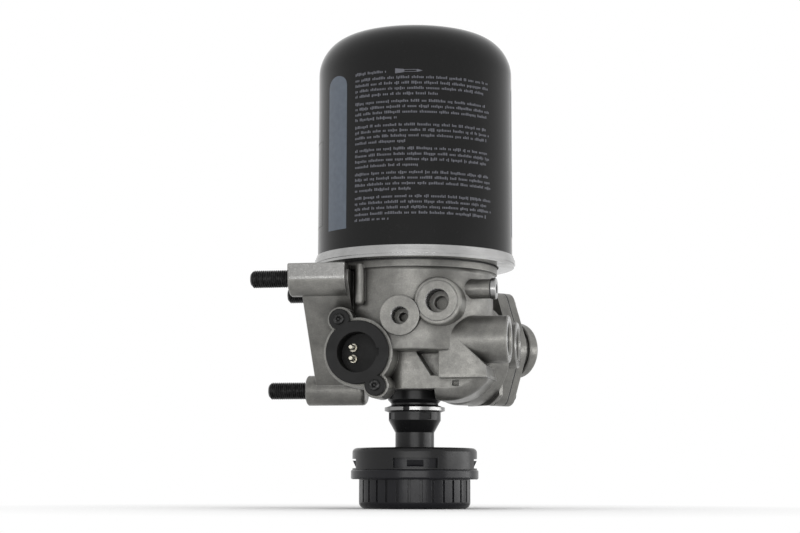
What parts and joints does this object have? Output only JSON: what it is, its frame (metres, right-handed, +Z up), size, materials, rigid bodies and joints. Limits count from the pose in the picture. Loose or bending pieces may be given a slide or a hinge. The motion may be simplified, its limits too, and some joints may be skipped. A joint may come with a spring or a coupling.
{
  "type": "air dryer",
  "caption": "Compressed-air dryer with a spin-on desiccant cartridge, cast housing, heater plug, governor, purge valve and ribbed exhaust silencer.",
  "frame": {"origin": "on the common axis of cartridge and silencer, at the silencer's flat underside", "axes": "+Z up along the cartridge axis; the mounting studs point to -X, the heater plug and the two small ports to -Y, the two large ports to +X"},
  "size_m": [0.1845, 0.1416, 0.334],
  "materials": {
    "cast_aluminium": "sand-textured casting, satin",
    "can_black": "gloss black paint with grey-blue print fields",
    "seam_steel": "bright rolled sheet",
    "plated_steel": "zinc plated",
    "stud_black": "black oxide thread",
    "screw_black": "black oxide",
    "plug_plastic": "fine matt mould texture",
    "silencer_plastic": "satin moulded",
    "cap_plastic": "gloss moulded",
    "pin_metal": "tinned brass",
    "rubber_black": "moulded",
    "spring_steel": "drawn wire",
    "clip_steel": "bright spring strip",
    "inner_plastic": "natural moulded",
    "desiccant": "packed beads",
    "filter_fibre": "needled fibre",
    "turned_aluminium": "turned"
  },
  "bodies": {
    "dryer": {"housing": "cast_aluminium", "mounting_studs": "stud_black", "silencer_body": "silencer_plastic", "silencer_cap": "cap_plastic", "silencer_clip": "clip_steel", "silencer_seal": "rubber_black", "silencer_packing": "filter_fibre", "silencer_baffle": "plated_steel", "purge_adapter": "silencer_plastic", "adapter_o_ring": "rubber_black", "purge_spring": "spring_steel", "heater_plug": "plug_plastic", "contact_pins": "pin_metal", "plug_screws": "screw_black", "plug_seal": "rubber_black", "heater_element": "plated_steel", "governor_gasket": "rubber_black", "governor_cover": "cast_aluminium", "governor_screws": "screw_black", "spring_seat": "plated_steel", "governor_spring": "spring_steel", "adjusting_screw": "plated_steel", "lock_nut": "plated_steel", "side_plug": "plated_steel", "side_plug_seal": "rubber_black", "check_valve_guide": "inner_plastic", "check_valve_spring": "spring_steel", "check_valve_seat": "turned_aluminium", "check_valve_clip": "spring_steel", "cartridge_can": "can_black", "cartridge_seam": "seam_steel", "cartridge_base_plate": "plated_steel", "cartridge_gasket": "rubber_black", "hub_seal": "rubber_black", "desiccant_basket": "inner_plastic", "desiccant_charge": "desiccant", "pressure_plate": "plated_steel", "top_spring": "spring_steel", "oil_filter": "filter_fibre"},
    "purge_valve": {"purge_piston": "turned_aluminium", "piston_o_ring": "rubber_black", "purge_seal": "rubber_black", "purge_valve_plate": "plated_steel", "purge_valve_nut": "plated_steel"},
    "check_valve": {"check_valve_disc": "inner_plastic"},
    "governor": {"governor_piston": "turned_aluminium"}
  },
  "joints": [
    {"name": "purge_valve_slide", "type": "slide", "parent": "dryer", "child": "purge_valve", "axis": [0, 0, -1], "range_m": [0, 0.004], "stiffness_N_per_m": 1500, "springref_m": -0.004, "deforming": ["purge_spring"]},
    {"name": "check_valve_slide", "type": "slide", "parent": "dryer", "child": "check_valve", "axis": [0, 0, -1], "range_m": [0, 0.005], "stiffness_N_per_m": 200, "springref_m": -0.004, "deforming": ["check_valve_spring"]},
    {"name": "governor_slide", "type": "slide", "parent": "dryer", "child": "governor", "axis": [0.6428, 0.766, 0], "range_m": [0, 0.003], "stiffness_N_per_m": 1500, "springref_m": -0.003, "deforming": ["governor_spring"]}
  ]
}
